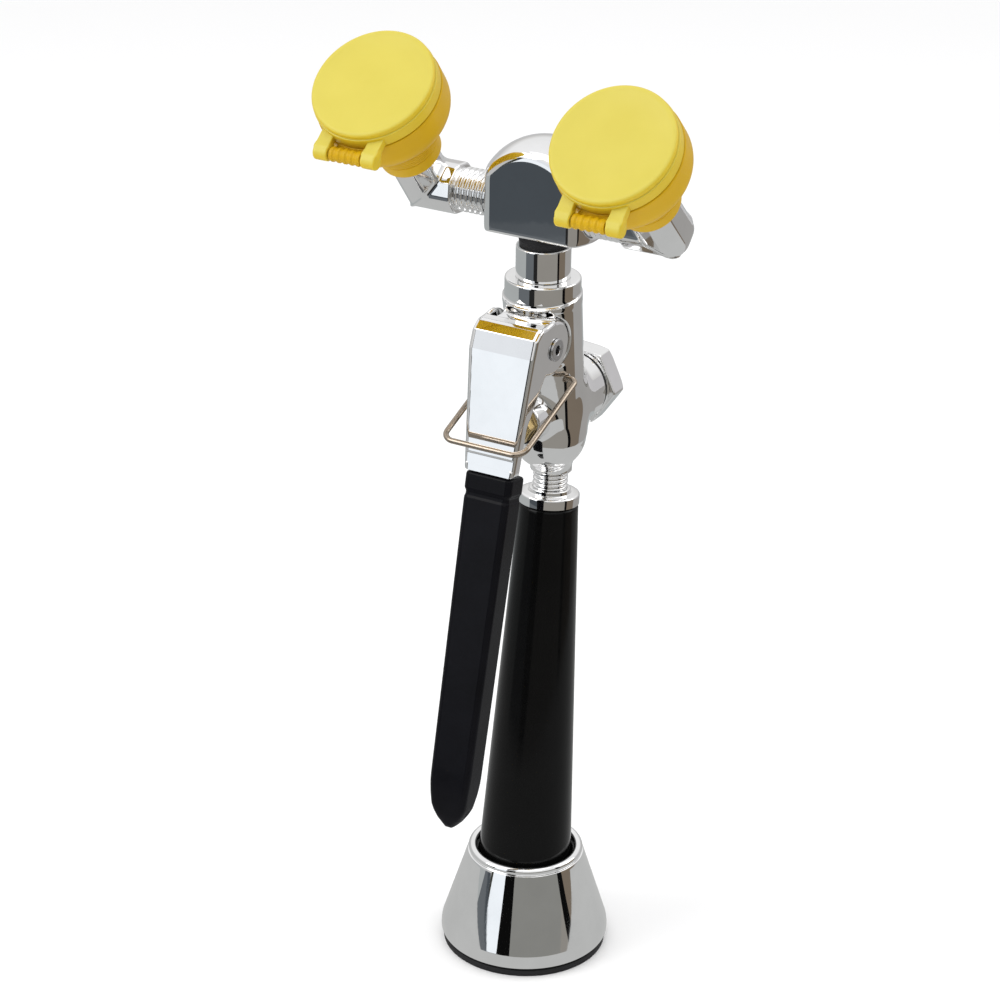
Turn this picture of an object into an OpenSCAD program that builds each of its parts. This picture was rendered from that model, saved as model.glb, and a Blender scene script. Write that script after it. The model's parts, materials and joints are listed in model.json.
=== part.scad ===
// Deck-mounted hand-held eyewash: a flange cup, a handpiece with a squeeze valve,
// and a yoke with two covered spray heads.
// +Z is up, +X is the object's right, the squeeze lever faces -Y.
// The origin is the centre of the gasket's underside.

/* [Deck flange] */
// Radius of the flange at its widest
flange_r = 35; // [34:0.5:38]
// Height of the flange's top lip above the deck
flange_h = 45; // [43:1:50]
// Radius of the flange's mouth
mouth_r = 20.3; // [20.2:0.1:21]
// Radius of the threaded hole that takes the mounting shank
shank_r = 16.5; // [15:0.5:17]

/* [Grip] */
// Backward lean of the grip as it stands in the flange, degrees
grip_lean = 5.4; // [4:0.2:6]
// How far the grip's axis passes in front of the centre of the flange's mouth, mm
grip_front = 0.2; // [0.1:0.1:0.4]
// Radius of the grip where it leaves the flange
grip_low_r = 19; // [18:0.5:19]
// Radius of the grip at its top
grip_top_r = 12.1; // [11.5:0.1:13]
// Length of the grip above the flange's mouth
grip_len = 152; // [150:1:154]

/* [Valve] */
// Height of the valve stem's axis
stem_z = 240; // [239:0.5:241]
// Height of the lever pivot
pivot_z = 273.2; // [272:0.2:274]
// Forward distance of the lever pivot from the flange's axis
pivot_fwd = 9.9; // [9.5:0.1:10.5]
// Across-corners radius of the bonnet nut
bonnet_r = 17.3; // [16.5:0.1:18]

/* [Lever] */
// Half width of the lever at its crease
lever_hw = 14.5; // [14.3:0.1:14.7]
// Half width of the lever where the black sleeve starts
lever_low_hw = 11; // [10.8:0.1:11.2]
// Thickness of the lever's sheet steel
sheet = 1.6; // [1.4:0.1:1.8]
// Length of the sleeve from its top edge to its tip
sleeve_len = 147; // [140:1:150]

/* [Hold-open clip] */
// Radius of the clip's wire
wire_r = 1.15; // [1:0.05:1.25]
// Distance from the clip's pivot to its crossbar
clip_len = 46.6; // [46:0.2:48]
// Angle of the clip below the horizontal
clip_drop = 20.5; // [18:0.5:24]

/* [Yoke and heads] */
// Radius of the domed yoke
yoke_r = 23.2; // [23:0.1:24]
// Distance from the centre plane to each head's axis
head_x = 52.1; // [51:0.1:54]
// Forward tilt of the left head, degrees
left_tilt = 39; // [35:1:50]
// Forward tilt of the right head, degrees
right_tilt = 45; // [35:1:50]
// Distance from the port axis to the top of a cover
head_reach = 65.8; // [65:0.2:67]
// Radius of a head's barrel
barrel_r = 25.2; // [25:0.1:25.5]
// Radius of a dust cover
cover_r = 24.5; // [24.3:0.1:24.7]

/* [Hidden] */
$fn = 64;
eps = 0.1;
fit_gap = 0.05;                     // radial clearance of a running fit
gap = 0.3;                          // clearance between faces that pass each other

// flange
gasket_h = 2.6;
hub_h = 12.6;
liner_wall = 1.2;
liner_r = 20.9;

// grip and inlet, heights along the leaning axis from the flange's mouth
tube_r = 8.6;
tube_bore = 7.2;
foot_z = -30.5;
neck_r = 7.1;
ring_z = grip_len;
ring_h = 4.6;
neck_top = 170;

// valve
outlet_y = 5.5;                     // outlet, yoke and port axis, behind the flange's axis
col_bot = [0, 13, 227];
col_top = [0, 5, 289];
col_tilt = atan((col_bot.y - col_top.y) / (col_top.z - col_bot.z));
col_len = norm(col_top - col_bot);
boss_top = 296;
bonnet_y = 34;                      // rear face of the bonnet boss
seat_y = 6;
pivot_y = -pivot_fwd;
ear_r = 11.5;
rivet_r = 3;
pack_y = -12;                       // front face of the packing boss
stem_r = 3;

// lever, the crease and the sleeve's top edge in side view
crease = [-27.8, 274.5];
low = [-36.6, 227.6];
sleeve_lean = 13.35;
sleeve_depth = 13;

// clip
clip_y = 2;
clip_z = 257;
clip_hw = 17.7;
clip_bend = 5;

// yoke and heads
yoke_z = 314;
dome_r = 26;
port_z = 325;
yoke_top = port_z + 1.3 + dome_r;
thread_r = 8.9;
rim_s = 57.6;                       // top of a barrel, measured along a head's axis
pin_s = 58.4;
pin_y = -29.2;
pin_r = 1.2;
hinge_hw = 13.5;
knuckle_hw = 7;
face_s = 57.2;                      // top of the spray face

chrome = [0.80, 0.81, 0.83];
steel = [0.62, 0.62, 0.64];
brass = [0.78, 0.62, 0.30];
black = [0.07, 0.07, 0.08];
yellow = [0.93, 0.80, 0.12];
cream = [0.90, 0.89, 0.82];

// ---- shared shapes ----

module ring(r_out, r_in, h, sides = 64) {
    difference() {
        cylinder(r = r_out, h = h, $fn = sides);
        translate([0, 0, -eps]) cylinder(r = r_in, h = h + 2 * eps, $fn = sides);
    }
}

// Solid rod with thread ridges: crest radius r, one ridge for each pitch.
module threaded_rod(r, h, pitch) {
    depth = 0.55 * pitch;
    turns = floor(h / pitch);
    rotate_extrude()
        polygon(concat(
            [[0, 0], [r - depth, 0]],
            [for (i = [0 : turns - 1], k = [0.15, 0.45, 0.55, 0.85])
                [(k > 0.2 && k < 0.8) ? r : r - depth, (i + k) * pitch]],
            [[r - depth, h], [0, h]]));
}

// Places children on the grip's leaning axis; z is 0 at the flange's mouth.
module on_grip() {
    translate([0, -grip_front, flange_h]) rotate([-grip_lean, 0, 0]) children();
}

// Cylinder along +Y from y0 to y1 on the stem's axis.
module along_stem(y0, y1, r, sides = 64) {
    translate([0, y0, stem_z]) rotate([-90, 0, 0]) cylinder(r = r, h = y1 - y0, $fn = sides);
}

// Cylinder along X, centred, in the side view's plane at (y, z).
module cross_pin(y, z, r, half) {
    translate([-half, y, z]) rotate([0, 90, 0]) cylinder(r = r, h = 2 * half);
}

// Extrudes a side-view outline, given as [y, z] points, to both sides of the centre plane.
module side_plate(outline, half) {
    rotate([90, 0, 90])
        linear_extrude(2 * half, center = true) polygon(outline);
}

// Places children on a spray head's axis; side is -1 for left and 1 for right.
module on_head(side) {
    translate([side * head_x, outlet_y, port_z])
        rotate([side < 0 ? left_tilt : right_tilt, 0, 0]) children();
}

// ---- deck flange ----

module deck_flange() {
    edge = 3;
    lip = 1.8;
    color(chrome) rotate_extrude($fn = 96) difference() {
        union() {
            polygon([
                [shank_r, 0], [liner_r - 0.5, 0], [liner_r - 0.5, gasket_h],
                [flange_r - edge, gasket_h], [flange_r, gasket_h + edge], [flange_r - 0.2, 9],
                [mouth_r + 3.6, flange_h - lip], [mouth_r + lip, flange_h],
                [mouth_r + lip, flange_h - lip], [mouth_r, flange_h - lip],
                [mouth_r, 42], [liner_r, 42], [liner_r, hub_h], [shank_r, hub_h]
            ]);
            translate([flange_r - edge, gasket_h + edge]) circle(r = edge);
            translate([mouth_r + lip, flange_h - lip]) circle(r = lip);
        }
        translate([0, -1]) square([flange_r + 1, 1]);
    }
}

module deck_gasket() {
    color(black) ring(flange_r - 1, liner_r - 0.4, gasket_h);
}

module flange_liner() {
    color(black) translate([0, 0, hub_h]) ring(liner_r - fit_gap, liner_r - liner_wall, 42 - hub_h, 96);
}

// ---- grip ----

module grip_sleeve() {
    color(black) on_grip() rotate_extrude()
        polygon([
            [tube_r, foot_z + 14], [16.6, foot_z + 14], [grip_low_r, -4], [grip_low_r, 2],
            [grip_top_r, ring_z - 1.5], [grip_top_r - 1.2, ring_z], [tube_r, ring_z]
        ]);
}

module core_tube() {
    color(brass) on_grip() translate([0, 0, foot_z + 12]) ring(tube_r, tube_bore, ring_z - foot_z - 12);
}

module inlet_bush() {
    color(brass) on_grip() translate([0, 0, foot_z]) difference() {
        cylinder(r = 15.5, h = 14);
        translate([0, 0, -eps]) cylinder(r = 9.3, h = 10 + eps);
        translate([0, 0, -eps]) cylinder(r = tube_r + fit_gap, h = 20);
    }
}

module inlet_washer() {
    color(black) on_grip() translate([0, 0, foot_z + 10]) ring(tube_r, tube_bore - 1.2, 2);
}

module grip_ring() {
    bevel = 0.9;
    color(chrome) on_grip() translate([0, 0, ring_z]) difference() {
        rotate_extrude() polygon([
            [0, 0], [grip_top_r + 0.2, 0], [grip_top_r + 0.2, ring_h - bevel],
            [grip_top_r + 0.2 - bevel, ring_h], [8.5, ring_h], [8.5, ring_h + 1.9], [0, ring_h + 1.9]
        ]);
        translate([0, 0, -eps]) cylinder(r = neck_r + fit_gap, h = 10);
    }
}

module neck_nipple() {
    color(chrome) on_grip() translate([0, 0, ring_z - 10]) difference() {
        threaded_rod(neck_r, neck_top - ring_z + 10, 1.8);
        translate([0, 0, -eps]) cylinder(r = 5, h = 60);
    }
}

// ---- valve ----

module body_shell() {
    translate(col_bot) rotate([col_tilt, 0, 0]) cylinder(r1 = 15, r2 = 16, h = col_len);
    translate(col_bot) sphere(r = 15.3);
    on_grip() translate([0, 0, neck_top - 4]) cylinder(r = 8.6, h = 10);
    translate([0, outlet_y, col_top.z - 3]) cylinder(r = 15, h = boss_top - col_top.z + 3);
    along_stem(pack_y, 10, 9.2);
    along_stem(12, bonnet_y, 14.5);
    cross_pin(pivot_y, pivot_z, 9.4, 11.5);
    translate([-11.3, pivot_y, pivot_z - 8.8]) cube([22.6, 12, 17.6]);
}

module valve_body() {
    color(chrome) difference() {
        body_shell();
        // inlet, from the neck into the valve chamber
        on_grip() translate([0, 0, neck_top - 12]) cylinder(r = neck_r + fit_gap, h = 12);
        on_grip() translate([0, 0, neck_top - eps]) cylinder(r = 5, h = 20);
        // chamber behind the seat, and the bonnet's thread
        along_stem(seat_y, bonnet_y, 9.5);
        along_stem(bonnet_y - 10, bonnet_y + eps, 11.6);
        // seat port and passage up to the outlet
        along_stem(-3.8, seat_y + eps, 4.6);
        translate([0, 0.5, stem_z]) rotate([-5, 0, 0]) cylinder(r = 4, h = 52);
        translate([0, outlet_y, boss_top - 10]) cylinder(r = thread_r, h = 10 + eps);
        // stem guide and packing
        along_stem(pack_y - eps, 0, stem_r + fit_gap);
        along_stem(pack_y - eps, pack_y + 6, 5.2);
        // pivots of the lever and the clip
        cross_pin(pivot_y, pivot_z, rivet_r, 20);
        for (side = [-1, 1]) {
            translate([side > 0 ? 10 : -30, clip_y, clip_z]) rotate([0, 90, 0])
                cylinder(r = wire_r + fit_gap, h = 20);
            translate([side > 0 ? 11.6 : -31.6, pivot_y, pivot_z]) rotate([0, 90, 0])
                cylinder(r = ear_r + 0.5, h = 20);
        }
    }
}

module valve_seat() {
    color(brass) translate([0, seat_y, stem_z]) rotate([-90, 0, 0]) ring(7.5, 4, 2);
}

module bonnet_nut() {
    color(chrome) difference() {
        union() {
            along_stem(bonnet_y - 10, bonnet_y + 2, 11.5);
            translate([0, bonnet_y + 2, stem_z]) rotate([-90, 0, 0]) rotate([0, 0, 5])
                intersection() {
                    cylinder(r = bonnet_r, h = 9, $fn = 6);
                    cylinder(r1 = bonnet_r + 2, r2 = bonnet_r - 1, h = 9);
                }
        }
        along_stem(bonnet_y - 10 - eps, bonnet_y + 2, 8);
    }
}

module bonnet_seal() {
    color(black) translate([0, bonnet_y, stem_z]) rotate([-90, 0, 0]) ring(13.2, 11.6, 2);
}

module packing_nut() {
    color(brass) translate([0, pack_y - 5, stem_z]) rotate([-90, 0, 0]) difference() {
        union() {
            cylinder(r = 8, h = 5, $fn = 6);
            cylinder(r = 5.1, h = 8);
        }
        translate([0, 0, -eps]) cylinder(r = stem_r + fit_gap, h = 9);
    }
}

module stem_packing() {
    color(black) translate([0, pack_y + 3, stem_z]) rotate([-90, 0, 0]) ring(5.1, stem_r + fit_gap, 3);
}

module outlet_nipple() {
    color(chrome) translate([0, outlet_y, 0]) difference() {
        union() {
            translate([0, 0, boss_top - 9]) cylinder(r = thread_r - fit_gap, h = 10);
            translate([0, 0, boss_top]) cylinder(r = 10.8, h = 13);
            translate([0, 0, boss_top + 12]) cylinder(r = 8, h = 13);
        }
        translate([0, 0, boss_top - 10]) cylinder(r = 5.5, h = 40);
    }
}

module outlet_seal() {
    color(black) translate([0, outlet_y, boss_top + 13]) ring(9.8, 8, yoke_z - boss_top - 13);
}

// Hollow rivet through the lever's ears and the body's lug.
module lever_rivet() {
    head = 0.9;
    color(steel) difference() {
        union() {
            cross_pin(pivot_y, pivot_z, rivet_r, lever_hw + 0.2);
            for (side = [-1, 1])
                translate([side * (lever_hw + 0.2 + head / 2), pivot_y, pivot_z]) rotate([0, 90, 0])
                    cylinder(r = 4.6, h = head, center = true);
        }
        for (side = [-1, 1])
            translate([side * (lever_hw + 1.2), pivot_y, pivot_z]) rotate([0, 90, 0])
                cylinder(r = 1.9, h = 8, center = true);
    }
}

// ---- moving valve parts ----

module valve_stem() {
    tip_r = 4.2;
    tip_y = -27.8;
    color(steel) union() {
        along_stem(tip_y, seat_y + 11, stem_r);
        translate([0, tip_y, stem_z]) sphere(r = tip_r);
    }
}

module valve_disc() {
    color(brass) translate([0, seat_y + 4.3, stem_z]) rotate([-90, 0, 0]) ring(8.4, stem_r, 3);
}

module disc_washer() {
    color(black) translate([0, seat_y + 2 + fit_gap, stem_z]) rotate([-90, 0, 0])
        ring(6.8, stem_r, 2.3 - fit_gap);
}

module valve_spring() {
    coil_r = 6.3;
    spring_y = seat_y + 7.4;
    color(steel) translate([0, spring_y, stem_z]) rotate([-90, 0, 0])
        linear_extrude(bonnet_y + 1.9 - spring_y, twist = -360 * 6, slices = 120, $fn = 10)
            translate([coil_r, 0]) circle(r = 0.9);
}

// ---- lever ----

lever_dir = (low - crease) / norm(low - crease);
lever_in = [-lever_dir.y, lever_dir.x] * sheet;

module lever_tang_frame() {
    translate([0, low.x, low.y]) rotate([-sleeve_lean, 0, 0]) children();
}

// Steel tongue of the lever inside the black sleeve; grow opens the sleeve round it.
module lever_tang(grow = 0) {
    lever_tang_frame() translate([-8 - grow, 2 - grow, -sleeve_len + 16 - grow])
        cube([16 + 2 * grow, 2.4 + 2 * grow, sleeve_len - 12 + grow]);
}

module lever() {
    front = [
        [crease.x + 8, pivot_z + ear_r], [crease.x + 3.3, crease.y + 8],
        crease, low, low + [6.4, -1.4], [-26.8, 246], [-15.5, 263.2], [pivot_y, pivot_z]
    ];
    void = [
        [-16, 300], [-16, pivot_z + ear_r - sheet], [crease.x + 9, pivot_z + ear_r - sheet],
        [crease.x + 4.8, crease.y + 7.2], crease + lever_in, low + lever_in + [-3, -16],
        [30, 210], [30, 300]
    ];
    // Seen from the front: parallel at the ears, narrowing below the crease
    function waist(inset) = [
        [-lever_hw + inset, 300], [-lever_hw + inset, crease.y],
        [-lever_low_hw + inset, low.y], [-lever_low_hw + inset, 190],
        [lever_low_hw - inset, 190], [lever_low_hw - inset, low.y],
        [lever_hw - inset, crease.y], [lever_hw - inset, 300]
    ];
    color(chrome) difference() {
        union() {
            intersection() {
                union() {
                    side_plate(front, 20);
                    cross_pin(pivot_y, pivot_z, ear_r, 20);
                }
                translate([0, 60, 0]) rotate([90, 0, 0]) linear_extrude(140) polygon(waist(0));
            }
            lever_tang();
        }
        intersection() {
            side_plate(void, 20);
            translate([0, 60, 0]) rotate([90, 0, 0]) linear_extrude(140) polygon(waist(sheet));
            translate([-20, -60, 229]) cube([40, 80, 80]);
        }
        cross_pin(pivot_y, pivot_z, rivet_r + fit_gap, 20);
    }
}

// Rounded bar section of the sleeve: half width hw, depth d, at height z of the lever frame.
module sleeve_slab(hw, d, z, y0 = 0) {
    corner = 2.6;
    for (x = [-hw + corner, hw - corner], y = [y0 + corner, y0 + d - corner])
        translate([x, y, z]) cylinder(r = corner, h = 0.5, $fn = 24);
}

module lever_sleeve() {
    groove = 0.5;
    color(black) difference() {
        lever_tang_frame() union() {
            hull() {
                sleeve_slab(lever_low_hw - 0.9, sleeve_depth, -8);
                sleeve_slab(lever_low_hw - 0.6, sleeve_depth - 1, -0.8);
            }
            translate([-9, groove, -10.2]) cube([18, sleeve_depth - 1, 3]);
            hull() {
                sleeve_slab(lever_low_hw - 1, sleeve_depth, -10);
                sleeve_slab(8.9, sleeve_depth, -sleeve_len + 16);
            }
            hull() {
                sleeve_slab(8.9, sleeve_depth, -sleeve_len + 16);
                sleeve_slab(7.4, sleeve_depth - 2, -sleeve_len + 9, 1);
                translate([0, sleeve_depth / 2, -sleeve_len + 2.5]) sphere(r = 2.5, $fn = 24);
            }
        }
        lever_tang();
    }
}

// ---- hold-open clip ----

module clip_corner(radius) {
    rotate_extrude(angle = 90) translate([radius, 0]) circle(r = wire_r, $fn = 32);
}

module hold_open_clip() {
    foot_bend = 2.6;
    arm = clip_len - clip_bend - foot_bend;
    color(steel) translate([0, clip_y, clip_z]) rotate([clip_drop, 0, 0]) union() {
        translate([-clip_hw + clip_bend, -clip_len, 0]) rotate([0, 90, 0])
            cylinder(r = wire_r, h = 2 * (clip_hw - clip_bend), $fn = 32);
        for (side = [0, 1]) mirror([side, 0, 0]) {
            translate([clip_hw - clip_bend, -clip_len + clip_bend, 0]) rotate([0, 0, -90])
                clip_corner(clip_bend);
            translate([clip_hw, -foot_bend, 0]) rotate([90, 0, 0])
                cylinder(r = wire_r, h = arm, $fn = 32);
            translate([clip_hw - foot_bend, -foot_bend, 0]) clip_corner(foot_bend);
            translate([10.4, 0, 0]) rotate([0, 90, 0])
                cylinder(r = wire_r, h = clip_hw - foot_bend - 10.4, $fn = 32);
        }
    }
}

// ---- yoke and elbows ----

module yoke() {
    face_y = -8;
    color(chrome) difference() {
        intersection() {
            translate([0, outlet_y, yoke_z]) cylinder(r = yoke_r, h = 60, $fn = 96);
            translate([0, outlet_y, yoke_top - dome_r]) sphere(r = dome_r, $fn = 96);
            translate([-50, face_y, 0]) cube([100, 100, 500]);
        }
        cross_pin(outlet_y, port_z, 6, 40);
        for (side = [-1, 1])
            translate([side * 27, outlet_y, port_z]) rotate([0, 90, 0])
                cylinder(r = thread_r + fit_gap, h = 20, center = true);
        translate([0, outlet_y, yoke_z - eps]) cylinder(r = 8 + fit_gap, h = 8);
    }
}

// Street elbow for the right side: male thread into the yoke, body turned up by tilt.
module elbow(tilt) {
    body_r = 10.8;                  // eight-sided forging, across corners
    bore = 6;
    start = 36.5;
    translate([0, outlet_y, port_z]) rotate([tilt, 0, 0]) difference() {
        union() {
            translate([17.2, 0, 0]) rotate([0, 90, 0]) threaded_rod(thread_r, start - 17, 2.3);
            intersection() {
                union() {
                    translate([start, 0, 0]) rotate([0, 90, 0]) rotate([0, 0, 22.5])
                        cylinder(r = body_r, h = head_x - start + 9.9, $fn = 8);
                    translate([head_x, 0, -9.9]) rotate([0, 0, 22.5])
                        cylinder(r = body_r, h = 30.4, $fn = 8);
                }
                // bevel across the outer corner of the bend
                translate([head_x, 0, 0]) rotate([0, 45, 0]) translate([-80, -40, -40])
                    cube([90.8, 80, 80]);
            }
            translate([head_x, 0, 21]) cylinder(r = 9.5, h = 11);
        }
        translate([16, 0, 0]) rotate([0, 90, 0]) cylinder(r = bore, h = head_x - 16);
        translate([head_x, 0, 0]) cylinder(r = bore, h = 40);
        translate([head_x, 0, 0]) sphere(r = bore);
    }
}

module left_elbow() { color(chrome) mirror([1, 0, 0]) elbow(left_tilt); }
module right_elbow() { color(chrome) elbow(right_tilt); }

// ---- spray heads ----

module head(side) {
    bead = 0.7;
    on_head(side) difference() {
        union() {
            rotate_extrude($fn = 72) polygon(concat(
                [[9.6, 21], [12.2, 20.8], [12.6, 21.4], [12.6, 26], [12, 26.6]],
                [for (i = [0 : 4], k = [0, 1])
                    [12.6 + i * 1.25 + k * bead, 27.6 + i * 2.5 + k * 1.1]],
                [for (a = [0 : 15 : 90])
                    [18.6 + (barrel_r - 18.6) * sin(a), 49.5 - 8.5 * cos(a)]],
                [[barrel_r, rim_s], [22.4, rim_s], [22.4, rim_s + 2.8], [21, rim_s + 2.8],
                 [21, 44], [12, 36], [9.6, 32]]));
            // hinge knuckle and the bracket under it
            translate([-knuckle_hw, pin_y, pin_s]) rotate([0, 90, 0])
                cylinder(r = 3, h = 2 * knuckle_hw);
            translate([-knuckle_hw, pin_y - 0.6, pin_s - 5]) cube([2 * knuckle_hw, 6, 4]);
        }
        translate([-20, pin_y, pin_s]) rotate([0, 90, 0]) cylinder(r = pin_r, h = 40);
    }
}

module flow_disc(side) {
    on_head(side) translate([0, 0, 32]) ring(9.6, 2.5, 4);
}

module foam(side) {
    on_head(side) translate([0, 0, 44]) cylinder(r = 20.9, h = 7);
}

// Spray face with a raised rim and rings of jet holes.
module spray_face(side) {
    on_head(side) difference() {
        union() {
            translate([0, 0, 51]) cylinder(r = 20.9, h = face_s - 51);
            translate([0, 0, face_s]) ring(20.9, 19.2, 1.6);
        }
        for (turn = [6, 12], i = [0 : turn - 1])
            rotate([0, 0, i * 360 / turn]) translate([turn * 1.2, 0, face_s - 2])
                cylinder(r = 0.8, h = 3, $fn = 16);
    }
}

module hinge_pin(side) {
    on_head(side) translate([-hinge_hw, pin_y, pin_s]) rotate([0, 90, 0])
        cylinder(r = pin_r, h = 2 * hinge_hw);
}

module cover(side) {
    edge = 1.4;
    top = head_reach;
    on_head(side) difference() {
        union() {
            rotate_extrude($fn = 96) polygon(concat(
                [[0, rim_s + 3.4], [22.9, rim_s + 3.4], [22.9, rim_s + gap], [cover_r + 0.3, rim_s + gap],
                 [cover_r + 0.3, top - 3.2], [cover_r - 0.3, top - 2.8], [cover_r, top - 2.4]],
                [for (a = [0 : 15 : 90])
                    [cover_r - edge + edge * cos(a), top - edge + edge * sin(a)]],
                [[0, top]]));
            for (x = [-hinge_hw, knuckle_hw + gap]) {
                translate([x, pin_y, pin_s]) rotate([0, 90, 0])
                    cylinder(r = 3.2, h = hinge_hw - knuckle_hw - gap);
                translate([x, pin_y, pin_s + 0.2])
                    cube([hinge_hw - knuckle_hw - gap, 8.5, 3]);
            }
        }
        translate([-20, pin_y, pin_s]) rotate([0, 90, 0]) cylinder(r = pin_r + fit_gap, h = 40);
        translate([0, 0, rim_s - 4]) cylinder(r = 22.9, h = 7.4);
    }
}

module left_head() { color(yellow) head(-1); }
module right_head() { color(yellow) head(1); }
module left_flow_disc() { color(cream) flow_disc(-1); }
module right_flow_disc() { color(cream) flow_disc(1); }
module left_foam() { color(black) foam(-1); }
module right_foam() { color(black) foam(1); }
module left_spray_face() { color(yellow) spray_face(-1); }
module right_spray_face() { color(yellow) spray_face(1); }
module left_hinge_pin() { color(steel) hinge_pin(-1); }
module right_hinge_pin() { color(steel) hinge_pin(1); }
module left_cover() { color(yellow) cover(-1); }
module right_cover() { color(yellow) cover(1); }

deck_flange();
deck_gasket();
flange_liner();
grip_sleeve();
core_tube();
inlet_bush();
inlet_washer();
grip_ring();
neck_nipple();
valve_body();
valve_seat();
bonnet_nut();
bonnet_seal();
packing_nut();
stem_packing();
outlet_nipple();
outlet_seal();
lever_rivet();
valve_stem();
valve_disc();
disc_washer();
valve_spring();
lever();
lever_sleeve();
hold_open_clip();
yoke();
left_elbow();
right_elbow();
left_head();
right_head();
left_flow_disc();
right_flow_disc();
left_foam();
right_foam();
left_spray_face();
right_spray_face();
left_hinge_pin();
right_hinge_pin();
left_cover();
right_cover();
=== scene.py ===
"""Deck-mounted hand-held eyewash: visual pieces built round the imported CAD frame."""
import json
import math
import bpy
import numpy as np
from mathutils import Matrix, Vector


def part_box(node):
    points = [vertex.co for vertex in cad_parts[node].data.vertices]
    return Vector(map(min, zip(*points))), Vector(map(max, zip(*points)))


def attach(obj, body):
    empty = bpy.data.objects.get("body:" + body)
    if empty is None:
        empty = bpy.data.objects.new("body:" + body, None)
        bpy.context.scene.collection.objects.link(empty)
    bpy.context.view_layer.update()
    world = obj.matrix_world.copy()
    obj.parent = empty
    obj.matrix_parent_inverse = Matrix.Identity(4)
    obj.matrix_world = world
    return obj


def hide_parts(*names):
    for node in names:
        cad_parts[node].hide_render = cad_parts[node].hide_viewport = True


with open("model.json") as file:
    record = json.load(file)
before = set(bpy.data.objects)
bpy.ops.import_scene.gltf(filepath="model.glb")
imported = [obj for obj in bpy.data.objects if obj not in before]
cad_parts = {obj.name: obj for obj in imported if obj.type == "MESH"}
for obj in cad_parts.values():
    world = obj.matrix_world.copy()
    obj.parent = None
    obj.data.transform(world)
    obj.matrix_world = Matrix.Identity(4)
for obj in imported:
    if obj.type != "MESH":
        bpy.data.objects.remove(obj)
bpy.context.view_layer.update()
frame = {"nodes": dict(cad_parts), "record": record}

MM = 0.001
scene = bpy.context.scene

# ---------------------------------------------------------------- places, in millimetres

JOINTS = {j["name"]: j for j in frame["record"]["behaviour"]["joints"]}


def high(node):
    return np.array(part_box(node)[1]) / MM


def joint_place(name):
    return np.array(JOINTS[name]["pos_m"]) / MM


def place(origin, tilt_deg):
    """Local frame whose Z leans by tilt about X: positive leans towards -Y."""
    return Matrix.Translation(Vector(origin)) @ Matrix.Rotation(math.radians(tilt_deg), 4, "X")


FLANGE_R = high("deck_flange")[0]
FLANGE_H = high("deck_flange")[2]
GASKET_H = high("deck_gasket")[2]
MOUTH_R = 20.3
lift = JOINTS["lift_out"]["axis"]
LEAN = math.degrees(math.atan2(lift[1], lift[2]))
GRIP_FRONT = 0.2
GRIP = place((0, -GRIP_FRONT, FLANGE_H), -LEAN)
GRIP_TOP_R = 12.1
GRIP_LOW_R = 19.0

STEM_Z = 240.0
OUTLET_Y = 5.5
PORT_Z = 325.0
HEAD_X = 52.1
TILT = {"left": 39.0, "right": 45.0}
SIDE = {"left": -1, "right": 1}
HEAD = {s: place((SIDE[s] * HEAD_X, OUTLET_Y, PORT_Z), TILT[s]) for s in SIDE}
PIVOT = joint_place("lever_squeeze")
CLIP_PIVOT = joint_place("clip_swing")

# ---------------------------------------------------------------- camera

CAM_AZ, CAM_EL, CAM_DIST = 28.46, 24.69, 1262.2
CAM_TARGET = Vector((0, 0, 200))
CAM_TURN, CAM_TIP, CAM_ROLL = 0.64, 0.086, 0.82
FOCAL_PER_WIDTH = 3.162


def camera_axes(az, el, roll=0.0):
    a, e, r = (math.radians(v) for v in (az, el, roll))
    back = Vector((math.sin(a) * math.cos(e), -math.cos(a) * math.cos(e), math.sin(e)))
    right = Vector((math.cos(a), math.sin(a), 0))
    up = back.cross(right)
    return (math.cos(r) * right + math.sin(r) * up, math.cos(r) * up - math.sin(r) * right, back)


def make_camera():
    data = bpy.data.cameras.new("camera")
    data.sensor_width = 36
    data.lens = 36 * FOCAL_PER_WIDTH
    data.clip_start, data.clip_end = 0.05, 50
    cam = bpy.data.objects.new("camera", data)
    scene.collection.objects.link(cam)
    back = camera_axes(CAM_AZ, CAM_EL)[2]
    x, y, z = camera_axes(CAM_AZ + CAM_TURN, CAM_EL - CAM_TIP, CAM_ROLL)
    rot = Matrix((x, y, z)).transposed().to_4x4()
    cam.matrix_world = Matrix.Translation((CAM_TARGET + back * CAM_DIST) * MM) @ rot
    scene.camera = cam


make_camera()

# ---------------------------------------------------------------- node materials


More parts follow.
